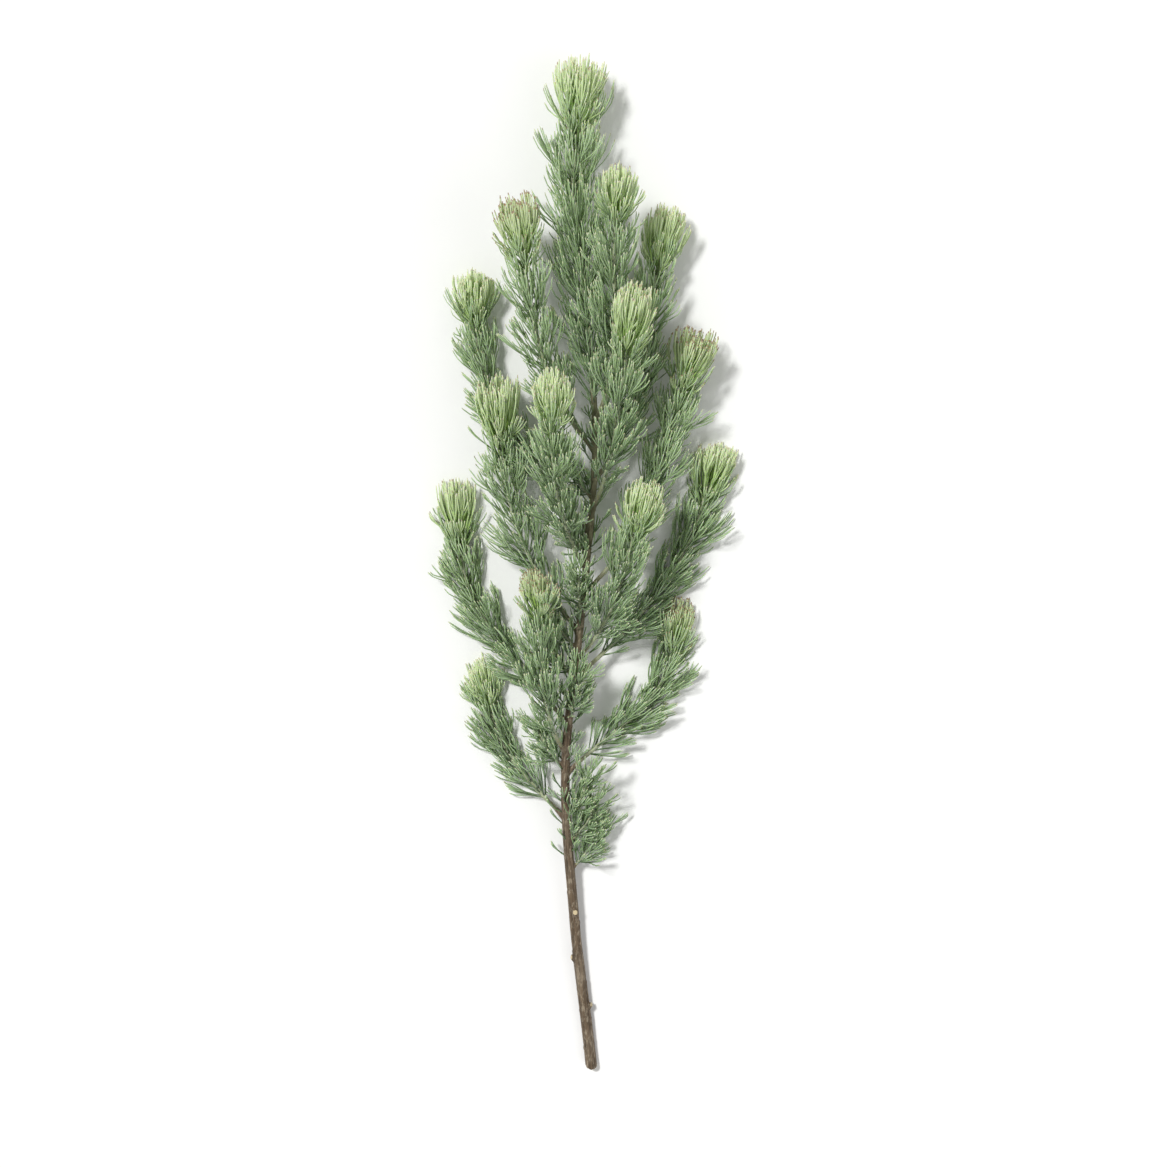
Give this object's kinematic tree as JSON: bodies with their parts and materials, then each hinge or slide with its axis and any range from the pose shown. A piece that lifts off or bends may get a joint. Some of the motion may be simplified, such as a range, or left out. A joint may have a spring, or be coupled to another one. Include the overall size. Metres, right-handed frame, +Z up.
{
  "type": "adenanthos stem",
  "caption": "Cut stem of adenanthos (woolly bush) lying on its side, with grey-green needled side shoots that end in pale yellow-green brushes.",
  "frame": {"origin": "middle of the outline in plan, on the surface that the stem lies on", "axes": "+Z up, +Y along the stem from its cut end to its tip, +X to the right when looking down with the tip away"},
  "size_m": [0.2046, 0.7008, 0.0945],
  "materials": {
    "bark": "matt grey-brown bark, pale wood at the slanting cut",
    "grey_leaves": "matt grey-green, softly hairy",
    "young_leaves": "matt yellow-green, silky, with pale tips"
  },
  "bodies": {
    "root": {"woody_stem": "bark", "leader_leaves": "grey_leaves", "leader_brush": "young_leaves", "side_shoot_01_leaves": "grey_leaves", "side_shoot_01_brush": "young_leaves", "side_shoot_02_leaves": "grey_leaves", "side_shoot_02_brush": "young_leaves", "side_shoot_03_leaves": "grey_leaves", "side_shoot_03_brush": "young_leaves", "side_shoot_04_leaves": "grey_leaves", "side_shoot_04_brush": "young_leaves", "side_shoot_05_leaves": "grey_leaves", "side_shoot_05_brush": "young_leaves", "side_shoot_06_leaves": "grey_leaves", "side_shoot_06_brush": "young_leaves", "side_shoot_07_leaves": "grey_leaves", "side_shoot_07_brush": "young_leaves", "side_shoot_08_leaves": "grey_leaves", "side_shoot_08_brush": "young_leaves", "side_shoot_09_leaves": "grey_leaves", "side_shoot_09_brush": "young_leaves", "side_shoot_10_leaves": "grey_leaves", "side_shoot_10_brush": "young_leaves", "side_shoot_11_leaves": "grey_leaves", "side_shoot_11_brush": "young_leaves", "side_shoot_12_leaves": "grey_leaves", "side_shoot_12_brush": "young_leaves", "side_shoot_13_leaves": "grey_leaves", "side_shoot_13_brush": "young_leaves", "side_shoot_14_leaves": "grey_leaves", "side_shoot_14_brush": "young_leaves", "tuft_01": "grey_leaves", "tuft_02": "grey_leaves", "tuft_03": "grey_leaves", "tuft_04": "grey_leaves", "tuft_05": "grey_leaves", "tuft_06": "grey_leaves", "tuft_07": "grey_leaves", "tuft_08": "grey_leaves", "tuft_09": "grey_leaves", "tuft_10": "grey_leaves"}
  },
  "joints": []
}
